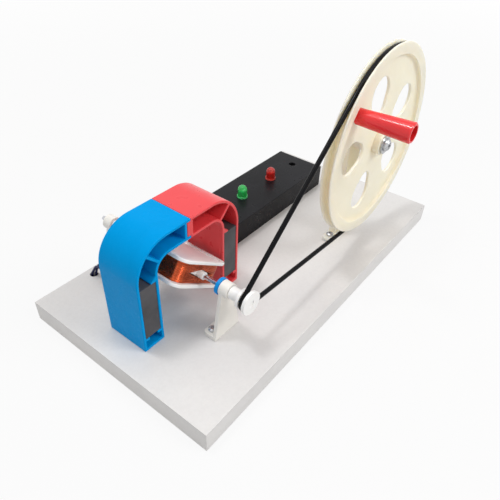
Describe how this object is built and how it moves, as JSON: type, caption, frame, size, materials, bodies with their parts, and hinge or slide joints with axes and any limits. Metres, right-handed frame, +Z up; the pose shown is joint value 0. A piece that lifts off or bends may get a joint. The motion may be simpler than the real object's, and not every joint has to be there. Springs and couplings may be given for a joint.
{
  "type": "hand crank generator",
  "caption": "Bench hand-crank generator: a wheel with a handle drives a wound rotor between magnets through a round belt, and coloured lamps on a box show the current.",
  "frame": {"origin": "centre of the base board's underside", "axes": "+X along the board towards the crank wheel's end, +Y towards the light box at the back, +Z up"},
  "size_m": [0.3, 0.1743, 0.173],
  "materials": {
    "white_board": "white faced chipboard, satin",
    "blue_plastic": "moulded, glossy",
    "red_plastic": "moulded, glossy",
    "ferrite": "sintered, matt",
    "steel": "zinc plated",
    "bright_steel": "ground bright",
    "iron": "plain",
    "ivory_plastic": "moulded, satin",
    "cream_plastic": "moulded, satin",
    "white_plastic": "moulded, satin",
    "brass": "turned",
    "bronze": "rolled spring strip",
    "copper": "enamelled copper",
    "copper_dark": "enamelled copper in shade",
    "ring_blue": "moulded",
    "belt_rubber": "matt",
    "black_plastic": "moulded",
    "handle_red": "moulded, glossy",
    "charcoal_plastic": "fine texture",
    "board_green": "solder mask",
    "resistor_tan": "lacquer",
    "lamp_green": "clear tinted resin",
    "lamp_red": "clear tinted resin",
    "lead_navy": "soft insulation"
  },
  "bodies": {
    "base": {"base_board": "white_board", "magnet_housing_blue": "blue_plastic", "magnet_housing_red": "red_plastic", "ferrite_magnet_blue": "ferrite", "ferrite_magnet_red": "ferrite", "housing_screws": "steel", "front_bracket": "ivory_plastic", "rear_bracket": "ivory_plastic", "front_bush": "brass", "rear_bush": "brass", "bracket_screws": "steel", "drive_belt": "belt_rubber", "brush_block": "black_plastic", "spring_brushes": "bronze", "terminal_screws": "brass", "wheel_axle": "steel", "axle_washers": "steel", "axle_nut": "steel", "wheel_stand": "ivory_plastic", "light_box": "charcoal_plastic", "box_screws": "steel", "circuit_board": "board_green", "board_screws": "steel", "resistor": "resistor_tan", "green_lamp": "lamp_green", "red_lamp": "lamp_red", "lamp_legs": "bright_steel", "lead_left": "lead_navy", "lead_right": "lead_navy"},
    "rotor": {"rotor_shaft": "bright_steel", "rotor_bobbin": "white_plastic", "rotor_core": "iron", "coil_body": "copper_dark", "coil_winding": "copper", "thrust_ring": "ring_blue", "driven_pulley": "white_plastic", "commutator_sleeve": "white_plastic", "commutator_segments": "copper"},
    "wheel": {"crank_wheel": "cream_plastic", "wheel_bush": "brass", "handle_pin": "steel", "handle_nut": "steel"},
    "handle": {"crank_handle": "handle_red"}
  },
  "joints": [
    {"name": "crank_turn", "type": "hinge", "parent": "base", "child": "wheel", "pos_m": [0.064, -0.055, 0.1035], "axis": [0, 1, 0], "continuous": true},
    {"name": "rotor_spin", "type": "hinge", "parent": "base", "child": "rotor", "pos_m": [-0.085, 0, 0.054], "axis": [0, 1, 0], "continuous": true},
    {"name": "handle_spin", "type": "hinge", "parent": "wheel", "child": "handle", "pos_m": [0.0215, -0.075, 0.1373], "axis": [0, 1, 0], "continuous": true}
  ],
  "couplings": [
    {"joint": "rotor_spin", "follows": "crank_turn", "ratio": 12.389}
  ]
}
